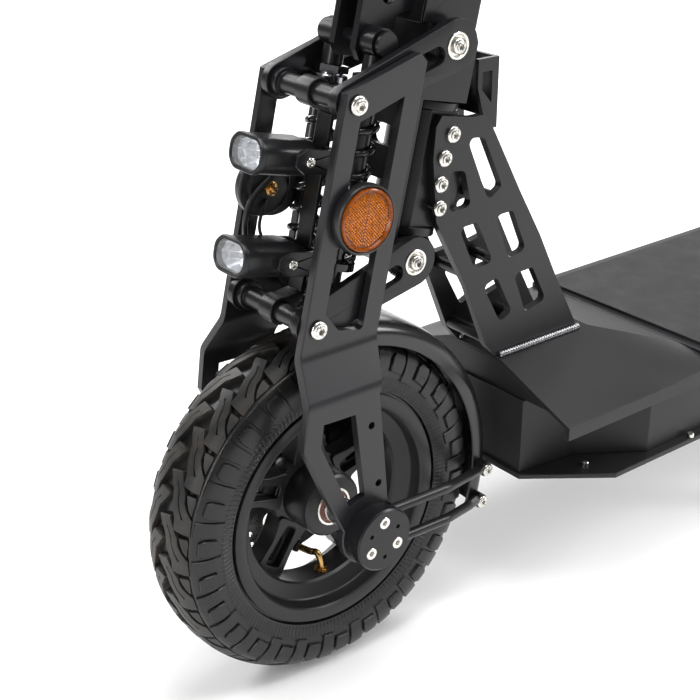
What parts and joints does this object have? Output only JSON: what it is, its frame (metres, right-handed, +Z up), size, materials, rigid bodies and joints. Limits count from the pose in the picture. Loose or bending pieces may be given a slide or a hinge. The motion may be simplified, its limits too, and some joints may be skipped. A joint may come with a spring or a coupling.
{
  "type": "electric kick scooter",
  "caption": "Electric kick scooter with parallelogram front suspension, perforated neck plates, off-road tyres, folding stem and rear hub motor.",
  "frame": {"origin": "on the ground, midway between the two axles and in the middle of the width", "axes": "+X forward, +Y to the rider's left, +Z up"},
  "size_m": [1.185, 0.6, 1.1548],
  "materials": {
    "alloy": "satin black powder coat",
    "neck_alloy": "satin black powder coat",
    "steel": "bright stainless",
    "disc_steel": "ground stainless",
    "tyre": "matte rubber",
    "grip": "matte rubber",
    "mat": "textured rubber",
    "gloss": "gloss moulded",
    "plastic": "fine texture",
    "amber": "prismatic reflector",
    "clear": "clear faceted lens",
    "red": "red lens",
    "spring": "gloss black",
    "deck_paint": "satin dark grey",
    "hose": "smooth rubber",
    "copper": "wound copper"
  },
  "bodies": {
    "frame": {"neck_plates": "neck_alloy", "neck_crossmembers": "alloy", "frame_bolts": "steel", "head_tube": "alloy", "headset_bearings": "steel", "deck_nose": "deck_paint", "deck_body": "deck_paint", "deck_bottom_plate": "deck_paint", "deck_top_plate": "deck_paint", "grip_mat": "mat", "battery_pack": "plastic", "motor_controller": "plastic", "tail_bracket": "alloy"},
    "kickstand": {"kickstand": "alloy"},
    "steering": {"steering_bracket": "alloy", "shock_tower": "alloy", "fold_base": "alloy", "rear_pivot_bolts": "steel"},
    "stem": {"stem_tube": "alloy", "bar_clamps": "alloy", "handlebar": "alloy", "handlebar_grips": "grip", "bar_controls": "plastic"},
    "fold_latch": {"fold_latch": "alloy"},
    "brake_lever_left": {"brake_lever_left": "alloy"},
    "brake_lever_right": {"brake_lever_right": "alloy"},
    "throttle": {"throttle_lever": "plastic"},
    "horn_button": {"horn_button": "plastic"},
    "upper_arm": {"upper_arms": "alloy"},
    "lower_arm": {"lower_arms": "alloy"},
    "fork": {"fork_leg_left": "alloy", "fork_leg_right": "alloy", "fork_pivot_tubes": "alloy", "fork_fasteners": "steel", "axle_caps": "alloy", "reflectors": "amber", "headlights": "alloy", "headlight_lenses": "clear", "lamp_bracket": "alloy", "horn": "plastic", "front_caliper": "alloy", "brake_hose": "hose", "front_mudguard": "gloss", "mudguard_stays": "alloy"},
    "front_wheel": {"front_tyre": "tyre", "front_rim": "alloy", "front_hub_bearings": "steel", "front_brake_disc": "disc_steel"},
    "shock_body": {"shock_bodies": "alloy", "shock_springs": "spring"},
    "shock_rod": {"shock_rods": "steel"},
    "swingarm": {"swingarm": "alloy", "motor_stator": "copper", "rear_mudguard": "gloss", "tail_light": "red"},
    "rear_wheel": {"rear_tyre": "tyre", "rear_hub_motor": "alloy"},
    "rear_shock_body": {"rear_shock_bodies": "alloy", "rear_shock_springs": "spring"},
    "rear_shock_rod": {"rear_shock_rods": "steel"}
  },
  "joints": [
    {"name": "steer", "type": "hinge", "parent": "frame", "child": "steering", "pos_m": [0.37788, 0, 0.3537], "axis": [-0.225, 0, 0.9744], "range_deg": [-35, 35]},
    {"name": "stem_fold", "type": "hinge", "parent": "steering", "child": "stem", "pos_m": [0.34819, 0, 0.48232], "axis": [0, -1, 0], "range_deg": [0, 92]},
    {"name": "latch", "type": "hinge", "parent": "stem", "child": "fold_latch", "pos_m": [0.35013, 0.027, 0.53613], "axis": [0, -1, 0], "range_deg": [0, 90]},
    {"name": "brake_left", "type": "hinge", "parent": "stem", "child": "brake_lever_left", "pos_m": [0.24616, 0.162, 1.11476], "axis": [0, 0, 1], "range_deg": [0, 14], "stiffness_Nm_per_rad": 1.5, "springref_deg": -20.05},
    {"name": "brake_right", "type": "hinge", "parent": "stem", "child": "brake_lever_right", "pos_m": [0.24616, -0.162, 1.11476], "axis": [0, 0, -1], "range_deg": [0, 14], "stiffness_Nm_per_rad": 1.5, "springref_deg": -20.05},
    {"name": "throttle", "type": "hinge", "parent": "stem", "child": "throttle", "pos_m": [0.21516, -0.139, 1.12076], "axis": [0, -1, 0], "range_deg": [0, 35], "stiffness_Nm_per_rad": 0.15, "springref_deg": -20.05},
    {"name": "horn_press", "type": "slide", "parent": "stem", "child": "horn_button", "axis": [0, 0, -1], "range_m": [0, 0.0018], "stiffness_N_per_m": 400, "springref_m": -0.002},
    {"name": "suspension", "type": "hinge", "parent": "steering", "child": "lower_arm", "pos_m": [0.40858, 0, 0.30075], "axis": [0, -1, 0], "range_deg": [0, 17], "stiffness_Nm_per_rad": 90, "springref_deg": -22.92},
    {"name": "upper_link", "type": "hinge", "parent": "steering", "child": "upper_arm", "pos_m": [0.37664, 0, 0.43911], "axis": [0, -1, 0], "range_deg": [0, 17]},
    {"name": "fork_link", "type": "hinge", "parent": "upper_arm", "child": "fork", "pos_m": [0.46295, 0, 0.41644], "axis": [0, -1, 0], "range_deg": [-17, 0]},
    {"name": "front_wheel_spin", "type": "hinge", "parent": "fork", "child": "front_wheel", "pos_m": [0.465, 0, 0.1275], "axis": [0, 1, 0], "continuous": true},
    {"name": "shock_swing", "type": "hinge", "parent": "steering", "child": "shock_body", "pos_m": [0.42757, 0, 0.44522], "axis": [0, -1, 0], "range_deg": [0, 3]},
    {"name": "shock_stroke", "type": "slide", "parent": "shock_body", "child": "shock_rod", "axis": [-0.225, 0, 0.9744], "range_m": [0, 0.0195], "deforming": ["shock_springs"]},
    {"name": "rear_suspension", "type": "hinge", "parent": "frame", "child": "swingarm", "pos_m": [-0.262, 0, 0.145], "axis": [0, 1, 0], "range_deg": [0, 10], "stiffness_Nm_per_rad": 300, "springref_deg": -20.05},
    {"name": "rear_wheel_spin", "type": "hinge", "parent": "swingarm", "child": "rear_wheel", "pos_m": [-0.465, 0, 0.1275], "axis": [0, 1, 0], "continuous": true},
    {"name": "rear_shock_swing", "type": "hinge", "parent": "frame", "child": "rear_shock_body", "pos_m": [-0.284, 0, 0.2], "axis": [0, 1, 0], "range_deg": [0, 12]},
    {"name": "rear_shock_stroke", "type": "slide", "parent": "rear_shock_body", "child": "rear_shock_rod", "axis": [0.8882, 0, 0.4594], "range_m": [0, 0.016], "deforming": ["rear_shock_springs"]},
    {"name": "stand_fold", "type": "hinge", "parent": "frame", "child": "kickstand", "pos_m": [-0.015, 0.1035, 0.122], "axis": [0, 1, 0], "range_deg": [0, 85]}
  ],
  "couplings": [
    {"joint": "upper_link", "follows": "suspension", "ratio": 1},
    {"joint": "fork_link", "follows": "suspension", "ratio": -1},
    {"joint": "shock_swing", "follows": "suspension", "ratio": 0.12084},
    {"joint": "shock_stroke", "follows": "suspension", "m_per_rad": 0.05423},
    {"joint": "rear_shock_swing", "follows": "rear_suspension", "ratio": 0.99529},
    {"joint": "rear_shock_stroke", "follows": "rear_suspension", "m_per_rad": 0.05916}
  ]
}
